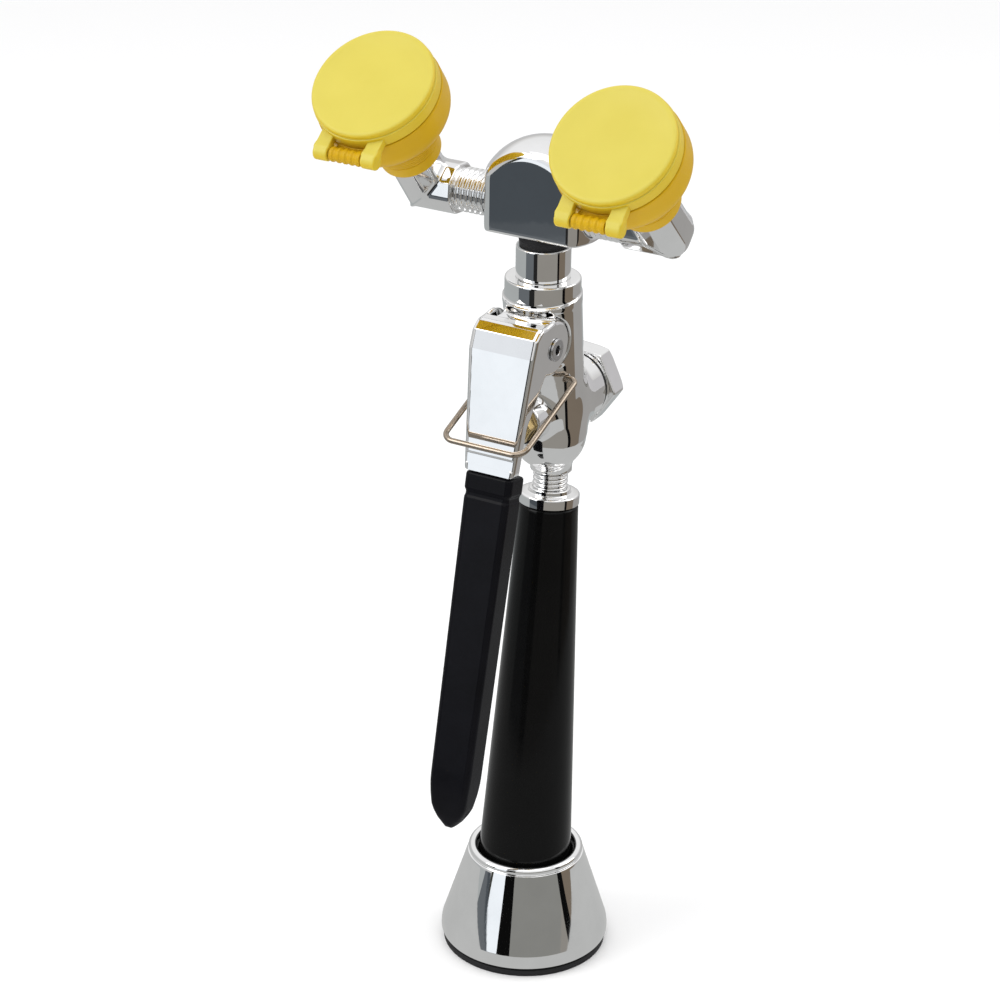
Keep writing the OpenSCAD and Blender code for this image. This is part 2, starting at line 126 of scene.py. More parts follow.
class Nodes:
    """Short forms for building one material's node tree."""

    def __init__(self, name):
        self.mat = bpy.data.materials.new(name)
        self.mat.use_nodes = True
        self.tree = self.mat.node_tree
        self.shader = self.tree.nodes["Principled BSDF"]

    def add(self, kind, **sockets):
        node = self.tree.nodes.new(kind)
        for key, value in sockets.items():
            node.inputs[key.replace("_", " ")].default_value = value
        return node

    def link(self, a, b):
        self.tree.links.new(a, b)

    def set(self, **sockets):
        for key, value in sockets.items():
            self.shader.inputs[key.replace("_", " ")].default_value = value

    def coords(self):
        """Object coordinates in millimetres."""
        coord = self.tree.nodes.new("ShaderNodeTexCoord")
        mapping = self.tree.nodes.new("ShaderNodeMapping")
        mapping.inputs["Scale"].default_value = [1 / MM] * 3
        self.link(coord.outputs["Object"], mapping.inputs["Vector"])
        return mapping.outputs["Vector"]

    def noise(self, vector, scale, detail=2.0, rough=0.5):
        node = self.add("ShaderNodeTexNoise", Scale=scale, Detail=detail, Roughness=rough)
        self.link(vector, node.inputs["Vector"])
        return node.outputs["Fac"]

    def spread(self, value, low_in, high_in, low_out, high_out):
        node = self.add("ShaderNodeMapRange", From_Min=low_in, From_Max=high_in,
                        To_Min=low_out, To_Max=high_out)
        self.link(value, node.inputs["Value"])
        return node.outputs["Result"]

    def facing(self, axis, low_in, high_in):
        """0 on walls along the axis, 1 on faces square to it."""
        coord = self.tree.nodes.new("ShaderNodeTexCoord")
        dot = self.tree.nodes.new("ShaderNodeVectorMath")
        dot.operation = "DOT_PRODUCT"
        dot.inputs[1].default_value = axis
        self.link(coord.outputs["Normal"], dot.inputs[0])
        return self.spread(dot.outputs["Value"], low_in, high_in, 0, 1)

    def mix(self, factor, a, b):
        """Mix two colours, each a socket or a tuple."""
        node = self.tree.nodes.new("ShaderNodeMix")
        node.data_type = "RGBA"
        for value, index in ((factor, 0), (a, 6), (b, 7)):
            if isinstance(value, (tuple, float, int)):
                node.inputs[index].default_value = value
            else:
                self.link(value, node.inputs[index])
        return node.outputs[2]

    def bump(self, height, distance_mm):
        node = self.add("ShaderNodeBump", Strength=1.0, Distance=distance_mm * MM)
        self.link(height, node.inputs["Height"])
        self.link(node.outputs["Normal"], self.shader.inputs["Normal"])


def chrome(name, tint=(0.90, 0.90, 0.90), wave=0.006, smudge=0.05):
    """Bright plate: a mirror with faint polishing waves and slightly duller wiped patches."""
    m = Nodes(name)
    p = m.coords()
    m.set(Metallic=1.0)
    dull = m.noise(p, 0.06, 4, 0.6)
    worn = tuple(v * 0.94 for v in tint)
    colour = m.mix(m.spread(dull, 0.35, 0.7, 0, 1), (*tint, 1), (*worn, 1))
    m.link(colour, m.shader.inputs["Base Color"])
    m.link(m.spread(dull, 0.3, 0.75, 0.015, smudge), m.shader.inputs["Roughness"])
    m.bump(m.noise(p, 0.12, 2), wave)
    return m.mat


def metal(name, tint, rough=(0.22, 0.4), grain=0.9, depth=0.01):
    """Turned or drawn bare metal with a fine cloudy grain."""
    m = Nodes(name)
    m.set(Metallic=1.0)
    p = m.coords()
    lines = m.noise(p, grain, 4, 0.7)
    colour = m.mix(lines, (*tint, 1), tuple(v * 0.72 for v in tint) + (1,))
    m.link(colour, m.shader.inputs["Base Color"])
    m.link(m.spread(lines, 0.3, 0.7, *rough), m.shader.inputs["Roughness"])
    m.bump(lines, depth)
    return m.mat


def plastic(name, tint, dark, rough=(0.3, 0.42), grain=1.6, depth=0.012, soft=0.0, shine=0.5,
            wall=None):
    """Moulded plastic: a slight colour drift, fine grain, uneven gloss; the wall may be given a darker colour
    as painted shade, leaving the top paler.
    """
    m = Nodes(name)
    p = m.coords()
    drift = m.noise(p, 0.05, 3, 0.55)
    colour = m.mix(m.spread(drift, 0.3, 0.7, 0, 1), (*tint, 1), (*dark, 1))
    # Painted shade: faces turned away from the cap's axis (its side wall) take the darker wall colour, and
    # faces square to the axis keep the paler tint.
    if wall:
        colour = m.mix(m.facing((0, -0.67, 0.742), 0.45, 0.9), (*wall, 1), colour)
    m.link(colour, m.shader.inputs["Base Color"])
    fine = m.noise(p, grain, 3, 0.6)
    m.link(m.spread(fine, 0.3, 0.7, *rough), m.shader.inputs["Roughness"])
    m.set(IOR=1.49, Specular_IOR_Level=shine)
    if soft:
        m.set(Subsurface_Weight=soft, Subsurface_Radius=(0.004, 0.003, 0.001), Subsurface_Scale=0.4)
    m.bump(fine, depth)
    return m.mat


def rubber(name, tint=(0.012, 0.012, 0.013), rough=(0.5, 0.72)):
    m = Nodes(name)
    p = m.coords()
    fine = m.noise(p, 2.2, 4, 0.65)
    m.link(m.mix(fine, (*tint, 1), tuple(v * 1.9 for v in tint) + (1,)), m.shader.inputs["Base Color"])
    m.link(m.spread(fine, 0.3, 0.7, *rough), m.shader.inputs["Roughness"])
    m.set(Specular_IOR_Level=0.2)
    m.bump(fine, 0.03)
    return m.mat


def foam_look(name):
    m = Nodes(name)
    p = m.coords()
    cells = m.tree.nodes.new("ShaderNodeTexVoronoi")
    cells.inputs["Scale"].default_value = 0.9
    m.link(p, cells.inputs["Vector"])
    m.link(m.mix(cells.outputs["Distance"], (0.09, 0.09, 0.1, 1), (0.015, 0.015, 0.016, 1)),
           m.shader.inputs["Base Color"])
    m.set(Roughness=0.9)
    m.bump(cells.outputs["Distance"], 0.4)
    return m.mat


LOOKS = {
    "chrome": chrome("chrome_plate"),
    "gasket_rubber": rubber("gasket_rubber"),
    "liner_plastic": plastic("liner_plastic", (0.01, 0.01, 0.011), (0.006, 0.006, 0.007)),
    "grip_black": plastic("grip_gloss", (0.004, 0.004, 0.004), (0.003, 0.003, 0.003), (0.10, 0.17),
                          0.5, 0.006, shine=0.13),
    "sleeve_vinyl": plastic("sleeve_vinyl", (0.006, 0.006, 0.008), (0.004, 0.004, 0.005), (0.16, 0.26), 0.6,
                            0.012, shine=0.08),
    "brass": metal("brass_turned", (0.74, 0.55, 0.25), (0.2, 0.36)),
    "seal_rubber": rubber("seal_rubber", (0.015, 0.015, 0.016)),
    "steel": metal("steel_turned", (0.62, 0.62, 0.63), (0.2, 0.36)),
    "clip_wire": metal("clip_wire", (0.46, 0.385, 0.31), (0.16, 0.3), 1.2, 0.008),
    "head_yellow": plastic("head_yellow", (0.61, 0.375, 0.005), (0.56, 0.335, 0.004), (0.34, 0.5), 1.4, 0.02,
                           0.06, shine=0.2),
    # Cover yellow: the wall colour (0.66, 0.48, 0.02) is painted shade, a darker yellow on the cap's side
    # wall.
    "cover_yellow": plastic("cover_yellow", (0.64, 0.545, 0.084), (0.615, 0.52, 0.074), (0.34, 0.46), 1.8,
                            0.015, 0.06, shine=0.35, wall=(0.66, 0.48, 0.02)),
    "face_yellow": plastic("face_yellow", (0.82, 0.60, 0.03), (0.76, 0.54, 0.02), (0.34, 0.5), 1.4,
                           0.02, 0.06),
    "flow_plastic": plastic("flow_plastic", (0.8, 0.79, 0.74), (0.74, 0.73, 0.68)),
    "foam": foam_look("open_foam"),
}

SLOT_OF = {s["node"]: s["material_slot"] for s in frame["record"]["subparts"]}
for node_name, node_object in frame["nodes"].items():
    node_object.data.materials.clear()
    node_object.data.materials.append(LOOKS[SLOT_OF[node_name]])

# ---------------------------------------------------------------- mesh helpers


def make_piece(name, parts, body, slot, frame_mm=None, replaces=(), crease=35.0):
    """One object from (vertices, faces, normals or None) parts given in millimetres."""
    verts, faces, normals = [], [], []
    count = 0
    smooth_all = all(part[2] is not None for part in parts)
    for points, polygons, shade in parts:
        verts.append(np.asarray(points, float))
        faces += [tuple(int(i) + count for i in f) for f in polygons]
        count += len(points)
        if smooth_all:
            normals.append(np.asarray(shade, float))
    points = np.concatenate(verts)
    matrix = np.array(frame_mm) if frame_mm is not None else np.eye(4)
    points = points @ matrix[:3, :3].T + matrix[:3, 3]
    mesh = bpy.data.meshes.new(name)
    mesh.from_pydata((points * MM).tolist(), [], faces)
    mesh.validate(clean_customdata=False)
    mesh.polygons.foreach_set("use_smooth", [True] * len(mesh.polygons))
    if smooth_all:
        mesh.normals_split_custom_set_from_vertices((np.concatenate(normals) @ matrix[:3, :3].T).tolist())
    else:
        mesh.set_sharp_from_angle(angle=math.radians(crease))
    mesh.materials.append(LOOKS[slot])
    obj = bpy.data.objects.new(name, mesh)
    scene.collection.objects.link(obj)
    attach(obj, body)
    if replaces:
        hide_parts(*replaces)
    return obj


def arc(cx, cy, r, start, end, count=8):
    """Points of a round stretch of an outline, angles in degrees."""
    angles = np.radians(np.linspace(start, end, count + 1))
    return [(cx + r * math.cos(t), cy + r * math.sin(t)) for t in angles]


def lathe(profile, segments=128, closed=True):
    """Turns an outline of (radius, z) points round Z. A closed outline makes a ring."""
    outline = np.array(profile, float)
    n = len(outline)
    angles = np.linspace(0, 2 * math.pi, segments, endpoint=False)
    points = [(r * math.cos(t), r * math.sin(t), z) for t in angles for r, z in outline]
    faces = []
    for i in range(segments):
        j = (i + 1) % segments
        for k in range(n if closed else n - 1):
            m = (k + 1) % n
            faces.append((i * n + k, j * n + k, j * n + m, i * n + m))
    return points, faces, None


def disc_lathe(profile, segments=128):
    """Turns an open outline whose two ends lie on the axis."""
    inner = profile[1:-1]
    points, faces, _ = lathe(inner, segments, closed=False)
    n = len(inner)
    first, last = len(points), len(points) + 1
    points = points + [(0, 0, profile[0][1]), (0, 0, profile[-1][1])]
    for i in range(segments):
        j = (i + 1) % segments
        faces.append((first, j * n, i * n))
        faces.append((last, i * n + n - 1, j * n + n - 1))
    return points, faces, None


def thread(crest, depth, pitch, z0, z1, segments, bore):
    """A true helical thread along Z, faded out at both ends, closed by flat ends round a bore."""
    rows = int((z1 - z0) / (pitch / 10)) + 1
    zs = np.linspace(z0, z1, rows)
    ts = np.linspace(0, 2 * math.pi, segments, endpoint=False)
    phase = (zs[:, None] / pitch - ts[None, :] / (2 * math.pi)) % 1.0
    ridge = np.clip(1.6 * (1 - np.abs(2 * phase - 1)) - 0.2, 0, 1)
    fade = np.clip(np.minimum(zs - z0, z1 - zs) / (0.8 * pitch), 0, 1)[:, None]
    r = crest - depth + depth * ridge * fade
    points = np.stack([r * np.cos(ts), r * np.sin(ts), np.repeat(zs[:, None], segments, 1)], -1)
    points = points.reshape(-1, 3).tolist()
    faces = []
    for i in range(rows - 1):
        for j in range(segments):
            k = (j + 1) % segments
            faces.append((i * segments + j, i * segments + k, (i + 1) * segments + k, (i + 1) * segments + j))
    for z, row, flip in ((z0, 0, True), (z1, rows - 1, False)):
        base = len(points)
        points += [(bore * math.cos(t), bore * math.sin(t), z) for t in ts]
        for j in range(segments):
            k = (j + 1) % segments
            quad = (row * segments + j, row * segments + k, base + k, base + j)
            faces.append(quad[::-1] if flip else quad)
    top, bottom = len(points) - segments, len(points) - 2 * segments
    for j in range(segments):
        k = (j + 1) % segments
        faces.append((bottom + j, bottom + k, top + k, top + j))
    return points, faces, None


def tube(path, radius, sides=24):
    """Round wire along a path of points, with rounded flat ends."""
    pts = np.array(path, float)
    tangents = np.gradient(pts, axis=0)
    tangents /= np.linalg.norm(tangents, axis=1)[:, None]
    side = np.cross(tangents[0], (0.3, 0.5, 0.8))
    side /= np.linalg.norm(side)
    points, faces = [], []
    angles = np.linspace(0, 2 * math.pi, sides, endpoint=False)
    for p, t in zip(pts, tangents):
        side = side - t * (side @ t)
        side /= np.linalg.norm(side)
        other = np.cross(t, side)
        points += [p + radius * (math.cos(a) * side + math.sin(a) * other) for a in angles]
    for i in range(len(pts) - 1):
        for j in range(sides):
            k = (j + 1) % sides
            faces.append((i * sides + j, i * sides + k, (i + 1) * sides + k, (i + 1) * sides + j))
    faces.append(tuple(range(sides))[::-1])
    faces.append(tuple((len(pts) - 1) * sides + j for j in range(sides)))
    return points, faces, None


# ---------------------------------------------------------------- rounded solids from distance fields


def corner(a, b):
    """Distance to the corner where the solids a and b overlap, round outside it."""
    return np.minimum(np.maximum(a, b), 0) + np.hypot(np.maximum(a, 0), np.maximum(b, 0))


def ball(p, c, r):
    return np.linalg.norm(p - np.array(c), axis=-1) - r


def rod(p, a, b, ra, rb=None):
    """Capped cylinder or cone from a to b."""
    a, b = np.array(a, float), np.array(b, float)
    rb = ra if rb is None else rb
    length = np.linalg.norm(b - a)
    axis = (b - a) / length
    along = (p - a) @ axis
    out = np.sqrt(np.maximum(((p - a) ** 2).sum(-1) - along ** 2, 0))
    slope = (rb - ra) / length
    wall = (out - (ra + slope * along)) / math.sqrt(1 + slope ** 2)
    ends = np.abs(along - length / 2) - length / 2
    return corner(wall, ends)


def block(p, c, half):
    q = np.abs(p - np.array(c)) - np.array(half)
    return np.linalg.norm(np.maximum(q, 0), axis=-1) + np.minimum(q.max(-1), 0)


def outline(u, v, pts):
    """Signed distance to a closed outline in the plane."""
    pts = np.array(pts, float)
    best = np.full(u.shape, 1e9)
    sign = np.ones(u.shape)
    for (ax, ay), (bx, by) in zip(pts, np.roll(pts, 1, axis=0)):
        ex, ey = bx - ax, by - ay
        wx, wy = u - ax, v - ay
        t = np.clip((wx * ex + wy * ey) / (ex * ex + ey * ey), 0, 1)
        best = np.minimum(best, (wx - ex * t) ** 2 + (wy - ey * t) ** 2)
        c1, c2, c3 = v >= ay, v < by, ex * wy > ey * wx
        sign = np.where((c1 & c2 & c3) | (~c1 & ~c2 & ~c3), -sign, sign)
    return sign * np.sqrt(best)


def join(a, b, k):
    """Union with a fillet of about k."""
    h = np.maximum(k - np.abs(a - b), 0) / k
    return np.minimum(a, b) - h * h * k * 0.25


def cut(a, b, k):
    """a without b, with the edge eased by about k."""
    return -join(-a, b, k)


def meet(a, b, k):
    return -join(-a, -b, k)


def sample(field, axes, step):
    """Field values on a grid; blocks far from the surface keep the value at their middle."""
    shape = [len(a) for a in axes]
    values = np.empty(shape)
    size = 8
    reach = size * step * 0.9
    starts = [np.arange(0, n, size) for n in shape]
    mids = [a[np.minimum(s + size // 2, len(a) - 1)] for a, s in zip(axes, starts)]
    coarse = field(np.stack(np.meshgrid(*mids, indexing="ij"), -1))
    near = []
    for (i, j, k), value in np.ndenumerate(coarse):
        if abs(value) > reach:
            a, b, c = starts[0][i], starts[1][j], starts[2][k]
            values[a:a + size, b:b + size, c:c + size] = value
        else:
            near.append((starts[0][i], starts[1][j], starts[2][k]))
    for group in range(0, len(near), 400):
        chunk = near[group:group + 400]
        grids = [np.meshgrid(*(a[s:s + size] for a, s in zip(axes, at)), indexing="ij") for at in chunk]
        flat = np.concatenate([np.stack(g, -1).reshape(-1, 3) for g in grids])
        result = field(flat)
        used = 0
        for at, g in zip(chunk, grids):
            count = g[0].size
            a, b, c = at
            values[a:a + size, b:b + size, c:c + size] = result[used:used + count].reshape(g[0].shape)
            used += count
    return values


def skin(field, lo, hi, step):
    """The zero surface of a distance field as quads, with every point moved onto it and exact normals."""
    axes = [np.arange(l, h + step, step) for l, h in zip(lo, hi)]
    values = sample(field, axes, step)
    shape = values.shape
    inside = values < 0
    cells = np.zeros([n - 1 for n in shape], int)
    for dx in (0, 1):
        for dy in (0, 1):
            for dz in (0, 1):
                cells += inside[dx:shape[0] - 1 + dx, dy:shape[1] - 1 + dy, dz:shape[2] - 1 + dz]
    active = (cells > 0) & (cells < 8)
    index = np.full(active.shape, -1)
    index[active] = np.arange(active.sum())
    at = np.argwhere(active)
    points = np.stack([axes[k][at[:, k]] + step / 2 for k in range(3)], -1)
    faces = []
    for axis in range(3):
        a, b = np.moveaxis(inside, axis, 0), np.moveaxis(index, axis, 0)
        change = a[:-1, 1:-1, 1:-1] != a[1:, 1:-1, 1:-1]
        where = np.argwhere(change)
        out = a[:-1, 1:-1, 1:-1][change]
        i, j, k = where.T
        quad = np.stack([b[i, j, k], b[i, j + 1, k], b[i, j + 1, k + 1], b[i, j, k + 1]], -1)
        if axis == 1:
            out = ~out
        quad[~out] = quad[~out][:, ::-1]
        faces.append(quad)
    faces = np.concatenate(faces)
    eps = 0.02

    def slope(p):
        return np.stack([field(p + eps * e) - field(p - eps * e) for e in np.eye(3)], -1) / (2 * eps)

    start = points.copy()
    for _ in range(6):
        g = slope(points)
        move = (field(points) / np.maximum((g * g).sum(-1), 0.2))[:, None] * g
        points = points - np.clip(move, -step / 2, step / 2)
        points = start + np.clip(points - start, -step, step)
    g = slope(points)
    g /= np.maximum(np.linalg.norm(g, axis=1), 1e-9)[:, None]
    return points, faces.tolist(), g


# ---------------------------------------------------------------- floor and light


def make_world():
    """Pale studio: bright above, grey round the horizon."""
    world = bpy.data.worlds.new("studio")
    scene.world = world
    world.use_nodes = True
    tree = world.node_tree
    coord = tree.nodes.new("ShaderNodeTexCoord")
    split = tree.nodes.new("ShaderNodeSeparateXYZ")
    ramp = tree.nodes.new("ShaderNodeValToRGB")
    stops = ((0.0, (0.35, 0.34, 0.33)), (0.5, (0.36, 0.35, 0.34)), (0.575, (0.62, 0.61, 0.60)),
             (0.70, (0.90, 0.90, 0.90)), (1.0, (0.97, 0.97, 0.98)))
    bands = ramp.color_ramp.elements
    while len(bands) < len(stops):
        bands.new(0.5)
    for band, (at, colour) in zip(bands, stops):
        band.position = at
        band.color = (*colour, 1)
    shift = tree.nodes.new("ShaderNodeMapRange")
    shift.inputs["From Min"].default_value = -1
    tree.links.new(coord.outputs["Generated"], split.inputs["Vector"])
    tree.links.new(split.outputs["Z"], shift.inputs["Value"])
    tree.links.new(shift.outputs["Result"], ramp.inputs["Fac"])
    tree.links.new(ramp.outputs["Color"], tree.nodes["Background"].inputs["Color"])
    tree.nodes["Background"].inputs["Strength"].default_value = 1.0


def softbox(name, az, el, dist, width, height, power):
    """Rectangular lamp on a bearing from the object, facing it. Distances in millimetres."""
    data = bpy.data.lights.new(name, "AREA")
    data.shape = "RECTANGLE"
    data.size, data.size_y = width * MM, height * MM
    data.energy = power
    lamp = bpy.data.objects.new(name, data)
    scene.collection.objects.link(lamp)
    x, y, z = camera_axes(az, el)
    rot = Matrix((x, y, z)).transposed().to_4x4()
    lamp.matrix_world = Matrix.Translation((CAM_TARGET + z * dist) * MM) @ rot
    lamp.visible_camera = False


def reflection_only(obj, colour):
    """Gives a studio flag or reflector its glow and hides it from the camera, shadows and matt surfaces."""
    mat = bpy.data.materials.new(obj.name)
    mat.use_nodes = True
    nodes = mat.node_tree.nodes
    nodes.remove(nodes["Principled BSDF"])
    glow = nodes.new("ShaderNodeEmission")
    glow.inputs["Color"].default_value = (*colour, 1)
    mat.node_tree.links.new(glow.outputs[0], nodes["Material Output"].inputs["Surface"])
    obj.data.materials.append(mat)
    scene.collection.objects.link(obj)
    obj.visible_camera = False
    obj.visible_shadow = False
    obj.visible_diffuse = False


def ring_card(name, az0, az1, low_z, high_z, colour, radius=1500):
    """Upright reflector bent round the set between two bearings."""
    points, faces = [], []
    steps = max(2, int(abs(az1 - az0) / 4))
    for az in np.radians(np.linspace(az0, az1, steps + 1)):
        x, y = radius * math.sin(az), -radius * math.cos(az)
        points += [(x * MM, y * MM, low_z * MM), (x * MM, y * MM, high_z * MM)]
    for i in range(steps):
        faces.append((2 * i, 2 * i + 2, 2 * i + 3, 2 * i + 1))
    mesh = bpy.data.meshes.new(name)
    mesh.from_pydata(points, [], faces)
    reflection_only(bpy.data.objects.new(name, mesh), colour)


def table_card(name, az0, az1, near, far, height, colour):
    """Flat reflector just above the floor, a sector of a ring round the origin."""
    points, faces = [], []
    steps = max(2, int(abs(az1 - az0) / 4))
    for az in np.radians(np.linspace(az0, az1, steps + 1)):
        for r in (near, far):
            points.append((r * math.sin(az) * MM, -r * math.cos(az) * MM, height * MM))
    for i in range(steps):
        faces.append((2 * i, 2 * i + 1, 2 * i + 3, 2 * i + 2))
    mesh = bpy.data.meshes.new(name)
    mesh.from_pydata(points, [], faces)
    reflection_only(bpy.data.objects.new(name, mesh), colour)


def make_floor():
    mesh = bpy.data.meshes.new("floor")
    r = 6.0
    mesh.from_pydata([(-r, -r, 0), (r, -r, 0), (r, r, 0), (-r, r, 0)], [], [(0, 1, 2, 3)])
    floor_look = Nodes("floor_paper")
    floor_look.set(Base_Color=(0.96, 0.96, 0.96, 1), Roughness=0.8, Specular_IOR_Level=0.1)
    mesh.materials.append(floor_look.mat)
    floor = bpy.data.objects.new("floor", mesh)
    scene.collection.objects.link(floor)


make_world()
make_floor()
softbox("overhead", 30, 78, 1500, 1500, 1300, 4)
softbox("front_left", -40, 38, 1500, 900, 900, 7)
softbox("right_back", 130, 35, 1600, 700, 1200, 4)
LIGHT_GREY = (0.52, 0.525, 0.52)
BLACK = (0.004, 0.004, 0.004)
table_card("table_near", -180, 180, 30, 380, 0.2, LIGHT_GREY)
table_card("far_left", -180, -48, 380, 1490, 0.2, (0.42, 0.44, 0.44))
table_card("blue_near", -48, -12, 380, 858, 0.2, (0.135, 0.148, 0.16))
table_card("blue_middle", -48, -12, 858, 884, 0.2, (0.11, 0.122, 0.134))
table_card("blue_far", -48, -12, 884, 910, 0.2, (0.088, 0.099, 0.11))
table_card("blue_last", -48, -12, 910, 1490, 0.2, (0.066, 0.077, 0.088))
table_card("far_dark", -12, 4, 380, 1490, 0.2, (0.02, 0.02, 0.02))
table_card("far_front", 4, 89, 380, 1490, 0.2, (0.29, 0.275, 0.25))
table_card("far_line", 89, 98, 380, 1490, 0.2, BLACK)
table_card("far_brown", 98, 130, 380, 1490, 0.2, (0.19, 0.155, 0.12))
table_card("far_back", 130, 180, 380, 1490, 0.2, (0.36, 0.35, 0.34))
ring_card("side_left", -180, -35, 0, 520, (0.56, 0.56, 0.56))
ring_card("line_left", -35, -31, 0, 1100, (0.05, 0.05, 0.04))
ring_card("white_flat", -31, -7, 0, 540, (0.97, 1.02, 1.07))
ring_card("white_upper", -31, -7, 540, 1100, (0.84, 0.87, 0.91))
ring_card("black_wide", -7, 10, 0, 1100, BLACK)
ring_card("grey_flat", 10, 89, 0, 560, (0.25, 0.25, 0.235))
ring_card("black_line", 89, 98, 0, 900, BLACK)
ring_card("brown_flat", 98, 136, 0, 520, (0.21, 0.17, 0.125))
ring_card("side_right", 136, 180, 0, 520, (0.57, 0.56, 0.57))
scene.view_settings.view_transform = "Standard"
scene.view_settings.look = "None"

# ---------------------------------------------------------------- deck flange


def ccw(profile):
    pts = np.array(profile, float)
    r, z = pts.T
    area = (r * np.roll(z, -1) - np.roll(r, -1) * z).sum()
    return profile if area > 0 else profile[::-1]


def make_flange():
    """Conical cup: a rounded foot, a straight cone, and a rolled lip over a narrow groove."""
    edge, lip = 3.0, 1.8
    low_z = GASKET_H + edge
    top = FLANGE_H - lip
    foot = arc(FLANGE_R - edge, low_z, edge, -90, 0, 12)
    cone = [(FLANGE_R - 0.04, 7.0), (FLANGE_R - 0.2, 8.3), (34.6, 9.4), (34.44, 9.9), (29.4, 25.72),
            (24.5, 41.1), (24.36, 41.55), (24.2, 41.9), (23.9, 42.05), (23.62, 42.1)]
    lips = arc(MOUTH_R + lip, top, lip, -34, 180, 30)
    profile = (
        [(16.5, 0.0), (16.9, 0.0), (20.4, 0), (20.4, GASKET_H), (22, GASKET_H)]
        + foot + cone + lips
        + [(MOUTH_R, 42.4), (MOUTH_R + 0.3, 42), (20.9, 42), (20.9, 12.6), (17.1, 12.6), (16.5, 12.0)]
    )
    make_piece("flange_cup", [lathe(ccw(profile), 192)], "deck", "chrome", replaces=["deck_flange"])


def make_gasket():
    r = FLANGE_R - 1
    h = GASKET_H
    outer = arc(r - 0.4, 0.4, 0.4, -90, 0, 4) + [(r - 0.12, h * 0.5)] + arc(r - 0.4, h - 0.4, 0.4, 0, 90, 4)
    profile = [(20.5, 0)] + outer + [(20.5, h)]
    make_piece("gasket_ring", [lathe(ccw(profile), 128)], "deck", "gasket_rubber", replaces=["deck_gasket"])


def make_liner():
    profile = [(19.7, 12.6), (20.85, 12.6), (20.85, 41.7), (20.5, 42)] + arc(20.1, 41.6, 0.4, 90, 180, 4)
    make_piece("liner_sleeve", [lathe(ccw(profile), 128)], "deck", "liner_plastic",
               replaces=["flange_liner"])


make_flange()
make_gasket()
make_liner()

# ---------------------------------------------------------------- grip and neck


def make_grip():
    body = [(8.6, -16.5), (16.0, -16.5), (16.6, -15.9), (GRIP_LOW_R - 0.1, -4.6), (GRIP_LOW_R, -4),
            (GRIP_LOW_R, 2)]
    for k in range(1, 13):
        t = k / 12
        body.append((GRIP_LOW_R + (GRIP_TOP_R + 0.02 - GRIP_LOW_R) * t, 2 + 147.2 * t))
    body += arc(GRIP_TOP_R - 1.6, 150.2, 1.6, 0, 80, 8) + [(8.6, 151.8)]
    make_piece("grip_moulding", [lathe(ccw(body), 144)], "handpiece", "grip_black", GRIP,
               ["grip_sleeve"])


def make_grip_ring():
    r = GRIP_TOP_R + 0.2
    profile = ([(7.15, 152.0), (r - 0.3, 152.0), (r, 152.3)] + arc(r - 0.9, 155.7, 0.9, 0, 90, 6)
               + [(8.9, 156.6)] + arc(8.9, 157.0, 0.4, -90, -180, 3) + [(8.5, 158.1)]
               + arc(8.1, 158.1, 0.4, 0, 90, 4) + [(7.15, 158.5)])
    make_piece("grip_collar", [lathe(ccw(profile), 128)], "handpiece", "chrome", GRIP, ["grip_ring"])


def make_neck():
    make_piece("neck_thread", [thread(7.1, 0.9, 1.8, 142, 170, 80, 5)], "handpiece", "chrome", GRIP,
               ["neck_nipple"], crease=60)


def make_inlet():
    """Bush in the grip's foot, with the ridges of its inside thread."""
    ridges = []
    for k in range(5):
        z = -21.4 - 1.8 * k
        ridges += [(9.7, z), (9.3, z - 0.6), (9.3, z - 0.9), (9.7, z - 1.5)]
    profile = [(9.9, -30.5), (14.9, -30.5), (15.5, -29.9), (15.5, -17.1), (14.9, -16.5), (8.75, -16.5),
               (8.75, -20.5), (9.7, -20.5)]
    make_piece("inlet_fitting", [lathe(ccw(profile + ridges), 96)], "handpiece", "brass", GRIP,
               ["inlet_bush"])


make_grip()
make_grip_ring()
make_neck()
make_inlet()

# ---------------------------------------------------------------- valve


def stub(out, along, start, end, r, edge):
    """Cylinder from its distance out from the axis and its place along it."""
    wall = out - r + edge
    ends = np.abs(along - (start + end) / 2) - abs(end - start) / 2 + edge
    return corner(wall, ends) - edge


def side_rod(p, y, z, r, x0, x1, edge=0.0):
    """Cylinder along X between x0 and x1."""
    return stub(np.hypot(p[..., 1] - y, p[..., 2] - z), p[..., 0], x0, x1, r, edge)


def stem_rod(p, y0, y1, r, edge=0.0):
    """Cylinder along Y on the stem's axis."""
    return stub(np.hypot(p[..., 0], p[..., 2] - STEM_Z), p[..., 1], y0, y1, r, edge)


def up_rod(p, z0, z1, r, edge=0.0):
    """Upright cylinder on the outlet's axis."""
    return stub(np.hypot(p[..., 0], p[..., 1] - OUTLET_Y), p[..., 2], z0, z1, r, edge)


def grip_point(z):
    return np.array(GRIP @ Vector((0, 0, z)))


PIVOT_Y, PIVOT_Z = PIVOT[1], PIVOT[2]
CLIP_Y, CLIP_Z = CLIP_PIVOT[1], CLIP_PIVOT[2]
EAR_R = 11.5
LUG_HALF = 11.5


